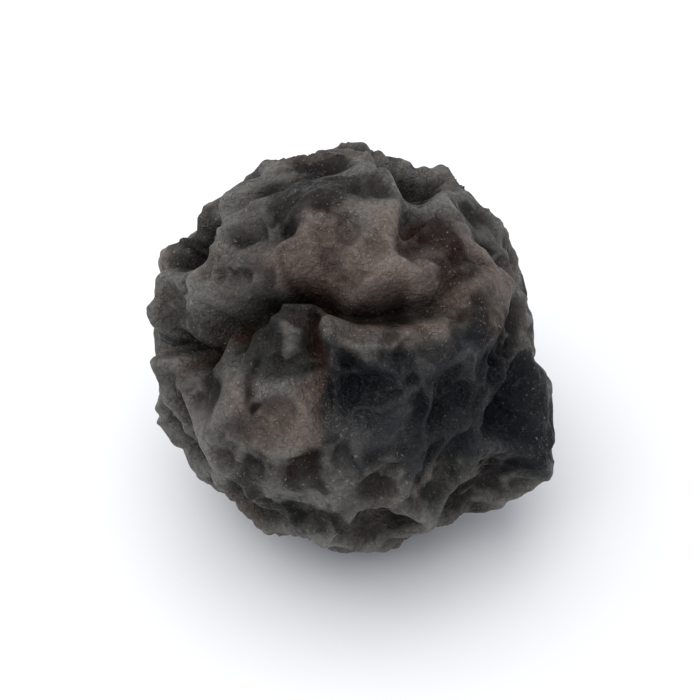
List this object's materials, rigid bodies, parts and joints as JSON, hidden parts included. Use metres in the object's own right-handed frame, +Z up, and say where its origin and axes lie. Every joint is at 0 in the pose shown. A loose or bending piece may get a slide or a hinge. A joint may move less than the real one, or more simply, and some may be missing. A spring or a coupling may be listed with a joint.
{
  "type": "black peppercorn",
  "caption": "Dried black peppercorn: a small round fruit with a wrinkled skin in a raised net of ridges, lying on a small flat spot.",
  "frame": {"origin": "middle of the small flat spot that the peppercorn rests on, on the surface", "axes": "+Z up, out of the surface; -Y is the side that the picture shows, with +X to its right"},
  "size_m": [0.005, 0.0052, 0.0049],
  "materials": {
    "pericarp": "dried, wrinkled fruit skin, very dark grey brown, dull with a faint waxy shine on the ridges"
  },
  "bodies": {
    "root": {"peppercorn": "pericarp"}
  },
  "joints": []
}
